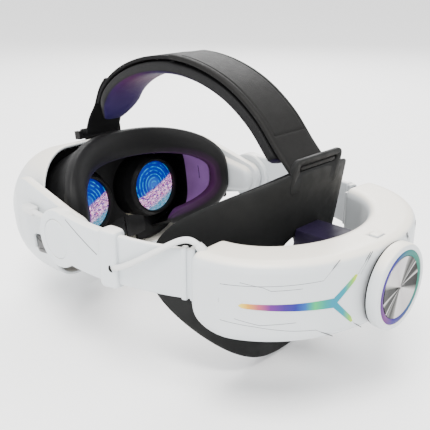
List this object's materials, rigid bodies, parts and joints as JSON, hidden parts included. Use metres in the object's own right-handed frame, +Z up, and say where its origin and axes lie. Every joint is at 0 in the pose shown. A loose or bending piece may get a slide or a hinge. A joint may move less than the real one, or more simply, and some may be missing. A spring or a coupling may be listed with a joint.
{
  "type": "vr headset",
  "caption": "Head-worn visor with lenses, hinged side arms, padded top strap, curved rear battery pack and a tightening knob with a lit ring.",
  "frame": {"origin": "on the wearer's middle plane between the two side pivots, 4 mm ahead of their axis; where the middle of the head sits", "axes": "+X wearer's right, +Y wearer's forward, +Z up"},
  "size_m": [0.1886, 0.2967, 0.1778],
  "materials": {
    "visor_white": "satin",
    "board_green": "matte",
    "cell_blue": "satin",
    "black_plastic": "fine texture",
    "window_black": "polished",
    "lens_clear": "coated",
    "display_face": "polished",
    "cushion_black": "soft cover",
    "flap_rubber": "matte",
    "arm_white": "satin",
    "pack_white": "satin",
    "pack_cream": "satin",
    "light_pipe": "glowing diffuser",
    "nylon": "matte",
    "steel": "satin",
    "knob_metal": "spun",
    "violet_plastic": "matte",
    "pad_violet": "soft",
    "strap_leather": "smooth",
    "webbing": "woven",
    "cable_white": "satin"
  },
  "bodies": {
    "visor": {"front_shell": "visor_white", "bulkhead": "black_plastic", "camera_window_left": "window_black", "camera_window_right": "window_black", "front_cameras": "window_black", "main_board": "board_green", "visor_battery": "cell_blue", "fan_frame": "black_plastic", "speakers": "black_plastic", "charge_port": "steel", "audio_jack": "steel", "strap_anchor": "black_plastic", "face_frame": "black_plastic", "face_cushion": "cushion_black", "nose_flaps": "flap_rubber", "pivot_pins": "steel", "usb_plug": "cable_white", "cable_visor": "cable_white", "front_webbing": "webbing"},
    "fan": {"fan_rotor": "black_plastic"},
    "power_key": {"power_button": "visor_white"},
    "volume_key": {"volume_rocker": "visor_white"},
    "left_lens": {"lens_barrel_left": "black_plastic", "lens_left": "lens_clear", "display_left": "display_face", "ipd_rack_left": "nylon"},
    "right_lens": {"lens_barrel_right": "black_plastic", "lens_right": "lens_clear", "display_right": "display_face", "ipd_rack_right": "nylon"},
    "thumb_wheel": {"ipd_wheel": "black_plastic"},
    "side_arms": {"arm_left": "arm_white", "arm_right": "arm_white", "collar_left": "arm_white", "collar_right": "arm_white", "pivot_caps": "arm_white", "rack_left": "nylon", "rack_right": "nylon", "cable_arm": "cable_white"},
    "rear_pack": {"pack_outer_shell": "pack_white", "pack_inner_shell": "pack_cream", "battery_cells": "cell_blue", "pack_board": "board_green", "light_bars": "light_pipe", "pack_port": "steel", "cradle_bracket": "violet_plastic", "cradle_shell": "black_plastic", "cradle_pad": "pad_violet", "strap_cover": "strap_leather", "strap_pad": "pad_violet", "strap_loop": "strap_leather", "webbing_tail": "webbing", "strain_relief": "cable_white", "screws": "steel", "cable_pack": "cable_white"},
    "pack_key": {"pack_button": "pack_white"},
    "knob": {"knob_body": "pack_white", "knob_light_ring": "light_pipe", "knob_cap": "knob_metal", "knob_pinion": "nylon"}
  },
  "joints": [
    {"name": "fan_spin", "type": "hinge", "parent": "visor", "child": "fan", "pos_m": [0, 0.0925, -0.0029], "axis": [0, 0.9903, -0.1392], "continuous": true},
    {"name": "power_press", "type": "slide", "parent": "visor", "child": "power_key", "axis": [-1, 0, 0], "range_m": [0, 0.0008], "stiffness_N_per_m": 400},
    {"name": "volume_press", "type": "slide", "parent": "visor", "child": "volume_key", "axis": [0, 0.1392, 0.9903], "range_m": [0, 0.0007], "stiffness_N_per_m": 400},
    {"name": "ipd_slide", "type": "slide", "parent": "visor", "child": "left_lens", "axis": [-1, 0, 0], "range_m": [-0.003, 0.0034]},
    {"name": "ipd_slide_right", "type": "slide", "parent": "visor", "child": "right_lens", "axis": [1, 0, 0], "range_m": [-0.003, 0.0034]},
    {"name": "ipd_wheel_turn", "type": "hinge", "parent": "visor", "child": "thumb_wheel", "pos_m": [0, 0.06841, -0.04496], "axis": [0, -0.9903, 0.1392], "range_deg": [-36, 40]},
    {"name": "strap_pitch", "type": "hinge", "parent": "visor", "child": "side_arms", "pos_m": [0, -0.004, 0], "axis": [1, 0, 0], "range_deg": [-12, 8], "deforming": ["cable_visor", "front_webbing"]},
    {"name": "pack_slide", "type": "slide", "parent": "side_arms", "child": "rear_pack", "axis": [0, -1, 0], "range_m": [-0.002, 0.016], "deforming": ["cable_pack", "rack_left", "rack_right", "front_webbing"]},
    {"name": "pack_press", "type": "slide", "parent": "rear_pack", "child": "pack_key", "axis": [0, 0, -1], "range_m": [0, 0.0008], "stiffness_N_per_m": 400},
    {"name": "knob_turn", "type": "hinge", "parent": "rear_pack", "child": "knob", "pos_m": [0, -0.184, -0.0028], "axis": [0, -1, 0], "range_deg": [-18, 145]}
  ],
  "couplings": [
    {"joint": "ipd_slide_right", "follows": "ipd_slide", "ratio": 1},
    {"joint": "ipd_wheel_turn", "follows": "ipd_slide", "rad_per_m": 200},
    {"joint": "knob_turn", "follows": "pack_slide", "rad_per_m": 156.25}
  ]
}
